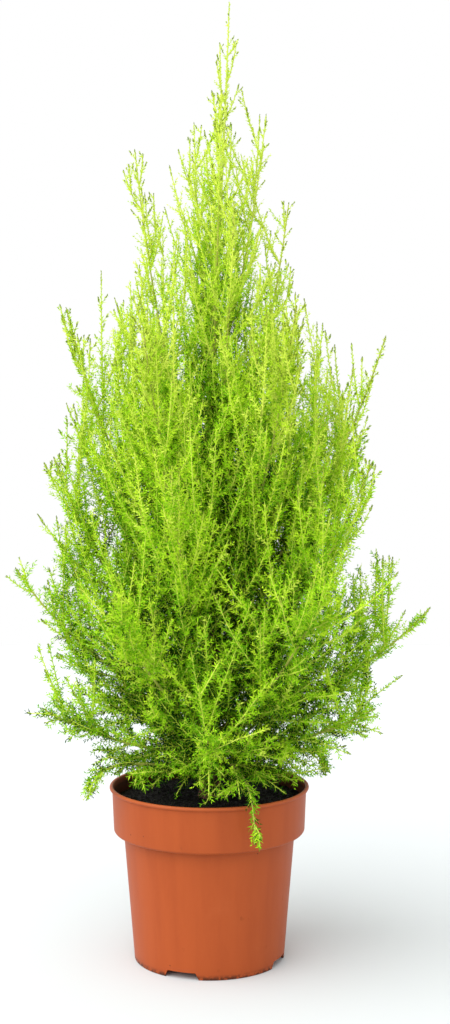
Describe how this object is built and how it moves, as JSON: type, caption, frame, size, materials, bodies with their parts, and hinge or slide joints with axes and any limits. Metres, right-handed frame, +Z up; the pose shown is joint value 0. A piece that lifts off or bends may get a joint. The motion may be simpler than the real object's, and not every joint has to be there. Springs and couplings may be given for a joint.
{
  "type": "potted lemon cypress",
  "caption": "Young lemon cypress: a feathery lime-green cone of ascending plumes round a slim trunk, standing in soil in a terracotta-coloured plastic nursery pot.",
  "frame": {"origin": "centre of the pot's flat underside", "axes": "+Z up the trunk, +X to the right as the picture shows the plant, +Y to the back"},
  "size_m": [0.417, 0.3737, 0.9],
  "materials": {
    "pot_plastic": "terracotta-coloured moulded plastic, semi-matte",
    "soil": "moist dark peat compost",
    "bark": "thin flaking reddish-brown bark",
    "foliage": "soft lime-green needles"
  },
  "bodies": {
    "root": {"pot": "pot_plastic", "soil": "soil", "trunk": "bark", "bough_skirt_1": "bark", "bough_skirt_2": "bark", "bough_skirt_3": "bark", "bough_skirt_4": "bark", "bough_skirt_5": "bark", "bough_lower_1": "bark", "bough_lower_2": "bark", "bough_lower_3": "bark", "bough_lower_4": "bark", "bough_lower_5": "bark", "bough_lower_6": "bark", "bough_middle_1": "bark", "bough_middle_2": "bark", "bough_middle_3": "bark", "bough_middle_4": "bark", "bough_middle_5": "bark", "bough_upper_1": "bark", "bough_upper_2": "bark", "bough_upper_3": "bark", "bough_upper_4": "bark", "bough_upper_5": "bark", "bough_upper_6": "bark", "foliage_hem_1": "foliage", "foliage_hem_2": "foliage", "foliage_hem_3": "foliage", "foliage_hem_4": "foliage", "foliage_skirt_1": "foliage", "foliage_skirt_2": "foliage", "foliage_skirt_3": "foliage", "foliage_skirt_4": "foliage", "foliage_skirt_5": "foliage", "foliage_lower_1": "foliage", "foliage_lower_2": "foliage", "foliage_lower_3": "foliage", "foliage_lower_4": "foliage", "foliage_lower_5": "foliage", "foliage_lower_6": "foliage", "foliage_middle_1": "foliage", "foliage_middle_2": "foliage", "foliage_middle_3": "foliage", "foliage_middle_4": "foliage", "foliage_middle_5": "foliage", "foliage_upper_1": "foliage", "foliage_upper_2": "foliage", "foliage_upper_3": "foliage", "foliage_upper_4": "foliage", "foliage_upper_5": "foliage", "foliage_upper_6": "foliage", "foliage_shoulder_1": "foliage", "foliage_shoulder_2": "foliage", "foliage_shoulder_3": "foliage", "foliage_shoulder_4": "foliage", "foliage_top_1": "foliage", "foliage_top_2": "foliage", "foliage_top_3": "foliage", "foliage_leader": "foliage"}
  },
  "joints": []
}
